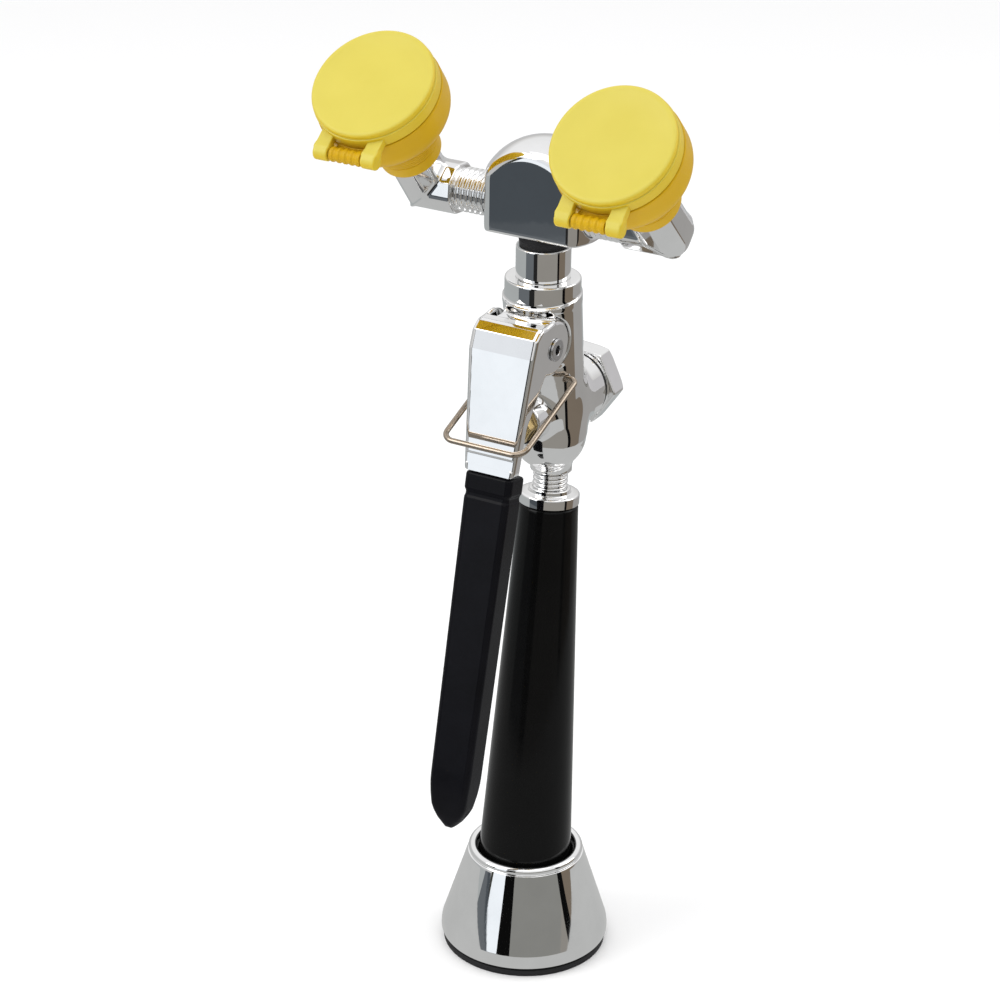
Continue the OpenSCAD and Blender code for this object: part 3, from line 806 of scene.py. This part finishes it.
def valve_field(p):
    d = join(rod(p, (0, 13, 227), (0, 5, 289), 14.6, 15.6), ball(p, (0, 13, 227), 15.0), 2.0)
    d = join(d, stem_rod(p, 12, 34, 14.4, 0.7), 5.0)
    d = join(d, up_rod(p, 286, 296, 15.0, 0.8), 1.6)
    d = join(d, rod(p, grip_point(166), grip_point(176), 8.4), 3.0)
    d = join(d, stem_rod(p, -12, 10, 9.1, 0.6), 3.0)
    lug = join(side_rod(p, PIVOT_Y, PIVOT_Z, 9.3, -LUG_HALF, LUG_HALF, 0.6),
               block(p, (0, PIVOT_Y + 6, PIVOT_Z), (11.2, 6, 8.7)), 1.0)
    d = join(d, lug, 3.0)
    for side in (-1, 1):
        pocket = side_rod(p, PIVOT_Y, PIVOT_Z, EAR_R + 0.5, side * (LUG_HALF + 0.1), side * 30)
        d = cut(d, pocket, 0.8)
        d = cut(d, side_rod(p, CLIP_Y, CLIP_Z, 1.25, side * 10, side * 30), 0.5)
    d = cut(d, side_rod(p, PIVOT_Y, PIVOT_Z, 3.05, -30, 30), 0.4)
    d = cut(d, stem_rod(p, -30, 6.2, 3.15), 0.4)
    d = cut(d, stem_rod(p, -20, -6, 5.2), 0.4)
    d = cut(d, stem_rod(p, 6, 36, 9.5), 0.4)
    d = cut(d, stem_rod(p, 24, 36, 11.6), 0.4)
    d = cut(d, up_rod(p, 284, 300, 8.9), 0.4)
    d = cut(d, rod(p, grip_point(158), grip_point(170), 7.2), 0.4)
    return d


def make_valve_body():
    mesh = skin(valve_field, (-17, -20, 209), (17, 36, 297.5), 0.55)
    make_piece("valve_casting", [mesh], "handpiece", "chrome", replaces=["valve_body"])


def hexagon(u, v, across_corners):
    """Distance to an upright hexagon, with its corners eased."""
    flat = across_corners * math.cos(math.pi / 6)
    d = None
    for k in range(3):
        t = math.radians(30 + 60 * k)
        side = np.abs(u * math.cos(t) + v * math.sin(t)) - flat
        d = side if d is None else meet(d, side, 0.8)
    return d


def nut_field(p, y0, y1, corner_r, bore, turn, chamfer):
    t = math.radians(turn)
    x, z, y = p[..., 0], p[..., 2] - STEM_Z, p[..., 1]
    u, v = x * math.cos(t) + z * math.sin(t), z * math.cos(t) - x * math.sin(t)
    d = meet(hexagon(u, v, corner_r), np.abs(y - (y0 + y1) / 2) - abs(y1 - y0) / 2, 0.5)
    out = np.hypot(x, z)
    cone = (out - (corner_r - chamfer) + (y - y1 if y1 > y0 else y1 - y) * 1.6) / 1.9
    d = meet(d, cone, 0.5)
    if bore:
        d = cut(d, stem_rod(p, min(y0, y1) - 5, max(y0, y1) + 5, bore), 0.4)
    return d


def bonnet_field(p):
    d = nut_field(p, 36.0, 45.0, 17.3, 0, -5, 1.5)
    d = join(d, stem_rod(p, 35.6, 36.8, 14.2, 0.3), 0.3)
    d = cut(d, stem_rod(p, 44.3, 46, 8.0, 0.2), 0.6)
    return d


def make_bonnet():
    mesh = skin(bonnet_field, (-18, 34.5, 221.5), (18, 46, 258.5), 0.5)
    make_piece("bonnet_hexagon", [mesh], "handpiece", "chrome")
    shank = [(8, 24), (11.1, 24), (11.5, 24.4), (11.5, 36), (8, 36)]
    turn = Matrix.Translation(Vector((0, 0, STEM_Z))) @ Matrix.Rotation(math.radians(-90), 4, "X")
    make_piece("bonnet_shank", [lathe(ccw(shank), 96)], "handpiece", "chrome", turn, ["bonnet_nut"])
    seal = [(11.6, 34.05), (13.5, 34.05), (13.9, 34.4), (13.9, 35.6), (13.5, 35.95), (11.6, 35.95)]
    make_piece("bonnet_seal_ring", [lathe(ccw(seal), 96)], "handpiece", "seal_rubber", turn, ["bonnet_seal"])


def gland_field(p):
    d = nut_field(p, -12.0, -17.0, 8.0, 0, 0, 0.5)
    d = join(d, stem_rod(p, -12.5, -9.0, 5.05), 0.3)
    return cut(d, stem_rod(p, -30, 0, 3.1), 0.3)


def make_packing_nut():
    mesh = skin(gland_field, (-9, -18.5, 231), (9, -7.5, 249), 0.4)
    make_piece("gland_nut", [mesh], "handpiece", "brass", replaces=["packing_nut"])


def make_outlet():
    r = 10.8
    profile = ([(8.85, 287), (8.85, 296.05), (r - 0.4, 296.05), (r, 296.4), (r, 308.3)]
               + arc(r - 0.7, 308.3, 0.7, 0, 90, 5) + [(8.0, 309.0), (8.0, 321.0), (5.5, 321.0), (5.5, 287)])
    at = Matrix.Translation(Vector((0, OUTLET_Y, 0)))
    make_piece("outlet_collar", [lathe(ccw(profile), 128)], "handpiece", "chrome", at, ["outlet_nipple"])
    seal = [(8.05, 309.05), (9.5, 309.05)] + arc(9.3, 311.4, 0.5, -40, 40, 6) + [(9.5, 313.9), (8.05, 313.9)]
    make_piece("outlet_seal_ring", [lathe(ccw(seal), 128)], "handpiece", "seal_rubber", at, ["outlet_seal"])


def make_rivet():
    """Hollow rivet: rolled heads on both ears with an open bore."""
    turn = Matrix.Translation(Vector((0, PIVOT_Y, PIVOT_Z))) @ Matrix.Rotation(math.radians(90), 4, "Y")
    half = [(1.9, 10), (1.9, 15.0)] + arc(2.4, 15.1, 0.5, 180, 100, 5) + [(3.6, 15.5)]
    half += arc(4.1, 15.1, 0.45, 70, -10, 5) + [(4.55, 14.72), (3.0, 14.72)]
    mirrored = [(r, -z) for r, z in half[::-1]]
    both = [(0.0, 10.0)] + half + mirrored + [(0.0, -10.0)]
    make_piece("pivot_rivet", [disc_lathe(both[::-1], 64)], "handpiece", "steel", turn, ["lever_rivet"])


make_valve_body()
make_bonnet()
make_packing_nut()
make_outlet()
make_rivet()

# ---------------------------------------------------------------- lever, sleeve and clip

CREASE = (-27.8, 274.5)
LOW = (-36.6, 227.6)
SHEET = 1.6
LEVER_HW, LEVER_LOW_HW = 14.5, 11.0
SLEEVE_LEAN = 13.35


def lever_half_width(z):
    slope = (LEVER_HW - LEVER_LOW_HW) / (CREASE[1] - LOW[1])
    return np.minimum(LEVER_HW, LEVER_HW + (z - CREASE[1]) * slope)


def lever_field(p):
    x, y, z = p[..., 0], p[..., 1], p[..., 2]
    side = outline(y, z, [(-19.8, 284.7), (-21.8, 283.85), (-25.0, 281.45), CREASE, LOW,
                          (-30.2, 226.2), (-26.8, 246), (-15.5, 263.2), (PIVOT_Y, PIVOT_Z), (PIVOT_Y, 284.7)])
    ear = np.hypot(y - PIVOT_Y, z - PIVOT_Z) - EAR_R
    profile = join(side, ear, 2.5)
    slope = math.cos(math.atan(3.5 / 46.9))
    width = (np.abs(x) - lever_half_width(z)) * slope
    outer = meet(profile, width, 2.2)
    dy, dz = 1.573, -0.295
    void = outline(y, z, [(-16, 300), (-16, 283.1), (-18.8, 283.1), (-21.0, 282.3), (-23.7, 280.2),
                          (CREASE[0] + dy, CREASE[1] + dz), (LOW[0] + dy - 3, LOW[1] + dz - 16), (30, 210),
                          (30, 300)])
    inner = meet(meet(void, width + SHEET, 1.6), 229 - z, 0.4)
    d = cut(outer, inner, 0.5)
    step = np.abs(z - 232.6) - 2.2
    front = y - (CREASE[0] + (LOW[0] - CREASE[0]) * (CREASE[1] - z) / (CREASE[1] - LOW[1])) - 0.28
    d = cut(d, np.maximum(front, step), 0.25)
    return cut(d, side_rod(p, PIVOT_Y, PIVOT_Z, 3.05, -30, 30), 0.3)


def make_lever():
    mesh = skin(lever_field, (-15.5, -38.5, 225), (15.5, 3, 286), 0.5)
    make_piece("lever_channel", [mesh], "lever", "chrome", replaces=["lever"])


SLEEVE = Matrix.Translation(Vector((0, LOW[0], LOW[1]))) @ Matrix.Rotation(math.radians(-SLEEVE_LEAN), 4, "X")


def soft_bar(x, y, half_x, half_y, r):
    """Bar along Z with its edges rounded by r, centred in the sleeve's depth."""
    qx, qy = np.abs(x) - half_x + r, np.abs(y - 6.5) - half_y + r
    return corner(qx, qy) - r


def sleeve_field(p):
    """The sleeve in its own frame: Y runs back from the front face, Z up from its top edge."""
    x, y, z = p[..., 0], p[..., 1], p[..., 2]
    half = np.interp(z, (-140, -131, -10), (8.6, 8.9, 10.0))
    bar = soft_bar(x, y, half, 6.5, 2.6)
    tip = outline(x, z, [(-14, 5), (-14, -112), (-9.5, -130), (-8.0, -137), (-5.0, -142.4), (-1.6, -146.2),
                         (1.6, -146.2), (5.0, -142.4), (8.0, -137), (9.5, -130), (14, -112), (14, 5)])
    nose = outline(y, z, [(-6, 5), (-6, -112), (-0.4, -131), (1.8, -140), (4.6, -147), (8.2, -147),
                          (11.2, -140), (13.4, -131), (19, -112), (19, 5)])
    d = meet(meet(bar, tip, 2.6), nose, 3.4)
    d = meet(d, z + 10.0, 1.2)
    collar = meet(soft_bar(x, y, 10.35, 6.4, 2.6), np.abs(z + 4.3) - 3.8, 1.4)
    neck = np.maximum(soft_bar(x, y, 9.6, 6.0, 2.2), np.abs(z + 9) - 3)
    return join(join(d, neck, 0.5), collar, 0.6)


def make_sleeve():
    mesh = skin(sleeve_field, (-11.5, -1.2, -148.5), (11.5, 14.2, 0.8), 0.7)
    make_piece("lever_grip", [mesh], "lever", "sleeve_vinyl", SLEEVE, ["lever_sleeve"])


def make_clip():
    """Bent wire bow: two feet in the valve body, two arms and a crossbar."""
    hw, length, bend, foot = 17.7, 46.6, 5.0, 2.6
    half = []
    for t in np.linspace(0, 1, 6):
        half.append((10.6 + (hw - foot - 10.6) * t, 0.0))
    half += arc(hw - foot, -foot, foot, 90, 0, 10)[1:]
    for t in np.linspace(0, 1, 14)[1:]:
        half.append((hw, -foot + (-length + bend + foot) * t))
    half += arc(hw - bend, -length + bend, bend, 0, -90, 14)[1:]
    for t in np.linspace(0, 1, 8)[1:]:
        half.append(((hw - bend) * (1 - t), -length))
    path = [(x, y, 0) for x, y in half] + [(-x, y, 0) for x, y in half[::-1][1:]]
    at = Matrix.Translation(Vector((0, CLIP_Y, CLIP_Z))) @ Matrix.Rotation(math.radians(20.5), 4, "X")
    make_piece("clip_bow", [tube(path, 1.13, 28)], "clip", "clip_wire", at, ["hold_open_clip"])


make_lever()
make_sleeve()
make_clip()

# ---------------------------------------------------------------- yoke and elbows


def yoke_field(p):
    d = meet(up_rod(p, 314, 380, 23.2), ball(p, (0, OUTLET_Y, 326.3), 26.0), 1.2)
    d = meet(d, -8.0 - p[..., 1], 2.6)
    d = meet(d, 314.0 - p[..., 2], 1.2)
    for side in (-1, 1):
        d = cut(d, side_rod(p, OUTLET_Y, PORT_Z, 9.0, side * 17, side * 40), 0.8)
    d = cut(d, side_rod(p, OUTLET_Y, PORT_Z, 6.0, -30, 30), 0.4)
    return cut(d, up_rod(p, 300, 322, 8.1), 0.6)


def make_yoke():
    mesh = skin(yoke_field, (-24, -9.5, 312.5), (24, 29.5, 353.5), 0.5)
    make_piece("yoke_dome", [mesh], "handpiece", "chrome", replaces=["yoke"])


def octagon(u, v, across_corners):
    flat = across_corners * math.cos(math.pi / 8)
    d = meet(np.abs(u) - flat, np.abs(v) - flat, 1.5)
    slant = (np.abs(u) + np.abs(v)) / math.sqrt(2) - flat
    return meet(d, slant, 1.5)


def elbow_field(p):
    """Street elbow for the right side, in the frame of its port, before it is tilted."""
    x, y, z = p[..., 0], p[..., 1], p[..., 2]
    mitre = (x - HEAD_X + z) / math.sqrt(2)
    arm = meet(octagon(y, z, 10.8), 36.5 - x, 1.0)
    riser = meet(octagon(x - HEAD_X, y, 10.8), z - 20.5, 1.0)
    d = join(np.maximum(arm, mitre), np.maximum(riser, -mitre), 1.6)
    d = meet(d, (x - HEAD_X - z) / math.sqrt(2) - 11.2, 4.0)
    bore = np.hypot(x - HEAD_X, y) - 6.0
    return cut(d, np.maximum(bore, 1.0 - z), 0.5)


def make_elbow(side):
    at = place((0, OUTLET_Y, PORT_Z), TILT[side])
    points, faces, normals = skin(elbow_field, (35.5, -11.5, -11.5), (64.5, 11.5, 21.5), 0.45)
    rod_points, rod_faces, _ = thread(8.85, 1.15, 2.3, 17.2, 37.0, 80, 6)
    lay = np.array(Matrix.Rotation(math.radians(90), 3, "Y"))
    rod_points = np.array(rod_points) @ lay.T
    if side == "left":
        points = points * (-1, 1, 1)
        normals = normals * (-1, 1, 1)
        faces = [f[::-1] for f in faces]
        rod_points = rod_points * (-1, 1, 1)
        rod_faces = [f[::-1] for f in rod_faces]
    make_piece(side + "_elbow_forging", [(points, faces, normals)], "handpiece", "chrome", at,
               [side + "_elbow"])
    make_piece(side + "_elbow_thread", [(rod_points, rod_faces, None)], "handpiece", "chrome", at, crease=60)


make_yoke()
for side in SIDE:
    make_elbow(side)

# ---------------------------------------------------------------- spray heads

BARREL_R, COVER_R = 25.2, 24.5
RIM_S, TOP_S = 57.6, 65.8
HINGE_Y, HINGE_S = -29.2, 58.4


def make_head(side):
    """Ribbed neck that swells into the barrel, with a stepped rim."""
    profile = [(9.65, 21.0), (11.9, 20.8)] + arc(12.2, 21.2, 0.4, -60, 0, 3) + [(12.6, 25.9), (12.0, 26.6)]
    for i in range(5):
        r, s = 12.6 + 1.25 * i, 27.6 + 2.5 * i
        profile += [(r - 0.25, s - 0.25)] + arc(r + 0.15, s + 0.55, 0.75, -50, 60, 5) + [(r + 0.35, s + 1.5)]
    profile += [(18.6 + (BARREL_R - 18.6) * math.sin(a), 49.5 - 8.5 * math.cos(a))
                for a in np.radians(np.linspace(2, 90, 16))]
    profile += [(BARREL_R, 57.0)] + arc(BARREL_R - 0.5, RIM_S - 0.5, 0.5, 0, 90, 4)
    profile += [(22.7, RIM_S)] + [(22.4, RIM_S + 0.3), (22.4, 60.0), (22.1, 60.4), (21.3, 60.4), (21.0, 60.1)]
    profile += [(21.0, 44.0), (12.0, 36.0), (9.65, 32.0)]
    make_piece(side + "_barrel", [lathe(ccw(profile), 144)], "handpiece", "head_yellow", HEAD[side],
               [side + "_head"])

    def bracket(p):
        x, y, z = p[..., 0], p[..., 1], p[..., 2]
        knuckle = side_rod(p, HINGE_Y, HINGE_S, 2.95, -7, 7, 0.5)
        ribs = 0.2 * np.clip(np.cos(2 * math.pi * x / 2.8) * 1.6, -1, 1)
        knuckle = knuckle + np.where(np.abs(x) < 6.0, 0.2 - ribs, 0.25)
        slant = (53.0 - z) * 0.6 - (y + 25) * 0.5
        web = meet(block(p, (0, HINGE_Y + 3.4, 54.9), (6.9, 3.6, 2.3)), slant, 0.6)
        d = join(knuckle, web, 1.2)
        d = cut(d, np.hypot(x, y) - 24.6, 0.3)
        return cut(d, side_rod(p, HINGE_Y, HINGE_S, 1.3, -20, 20), 0.3)

    mesh = skin(bracket, (-8, -33, 51), (8, -22, 62.5), 0.4)
    make_piece(side + "_hinge_bracket", [mesh], "handpiece", "head_yellow", HEAD[side])
    pin = [(0, -13.3), (0.9, -13.3), (1.2, -13.0), (1.2, 13.0), (0.9, 13.3), (0, 13.3)]
    at = HEAD[side] @ Matrix.Translation(Vector((0, HINGE_Y, HINGE_S))) @ Matrix.Rotation(math.pi / 2, 4, "Y")
    make_piece(side + "_hinge_rod", [disc_lathe(pin, 48)], "handpiece", "steel", at, [side + "_hinge_pin"])


def make_cover(side):
    """Shallow cap with a bead round its top, and two hinge arms."""
    r = COVER_R
    profile = [(22.9, 61.0), (22.9, RIM_S + 0.35), (r + 0.1, RIM_S + 0.35)]
    profile += arc(r + 0.0, RIM_S + 0.65, 0.3, -70, 0, 3) + [(r + 0.3, 62.3)]
    profile += arc(r - 0.1, 62.6, 0.4, 0, 60, 3) + [(r - 0.28, 63.0), (r - 0.3, 63.2)]
    profile += arc(r - 1.4, TOP_S - 1.4, 1.4, 0, 84, 8)
    dish = [(r - 2.4, TOP_S), (r - 2.7, TOP_S - 0.12), (12, TOP_S - 0.12), (0, TOP_S - 0.12)]
    outline_points = [(0, 61.0)] + profile + dish
    make_piece(side + "_cap", [disc_lathe(outline_points, 160)], side + "_cover", "cover_yellow", HEAD[side],
               [side + "_cover"])

    def arms(p):
        x, y, z = np.abs(p[..., 0]), p[..., 1], p[..., 2]
        q = np.stack([x, y, z], -1)
        knuckle = side_rod(q, HINGE_Y, HINGE_S, 3.15, 7.35, 13.4, 0.6)
        arm = block(q, (10.4, HINGE_Y + 4.6, 60.0), (2.5, 3.6, 1.1)) - 0.5
        d = join(knuckle, arm, 1.6)
        d = cut(d, np.hypot(p[..., 0], y) - 23.6, 0.4)
        return cut(d, side_rod(q, HINGE_Y, HINGE_S, 1.25, -20, 12.6), 0.3)

    mesh = skin(arms, (-14.5, -33, 54.5), (14.5, -19, 62.5), 0.4)
    make_piece(side + "_cap_arms", [mesh], side + "_cover", "cover_yellow", HEAD[side])


def face_field(p):
    """Jet plate with a raised rim and two rings of short nozzles."""
    x, y, z = p[..., 0], p[..., 1], p[..., 2]
    out = np.hypot(x, y)
    d = meet(out - 20.9, np.abs(z - 54.1) - 3.1, 0.5)
    d = join(d, meet(np.abs(out - 20.05) - 0.85, np.abs(z - 57.9) - 0.9, 0.4), 0.6)
    for count, radius in ((6, 7.2), (12, 14.4)):
        pitch = 2 * math.pi / count
        turn = np.round(np.arctan2(y, x) / pitch) * pitch
        off = np.hypot(x - radius * np.cos(turn), y - radius * np.sin(turn))
        d = join(d, meet(off - 1.8, np.abs(z - 57.3) - 0.6, 0.3), 0.7)
        d = cut(d, np.maximum(off - 0.8, np.abs(z - 57.5) - 2.3), 0.3)
    return d


def make_spray_face(side):
    mesh = skin(face_field, (-21.5, -21.5, 50.4), (21.5, 21.5, 59.4), 0.4)
    node = side + "_spray_face"
    make_piece(side + "_jet_plate", [mesh], "handpiece", SLOT_OF[node], HEAD[side], [node])


for side in SIDE:
    make_head(side)
    make_cover(side)
    make_spray_face(side)
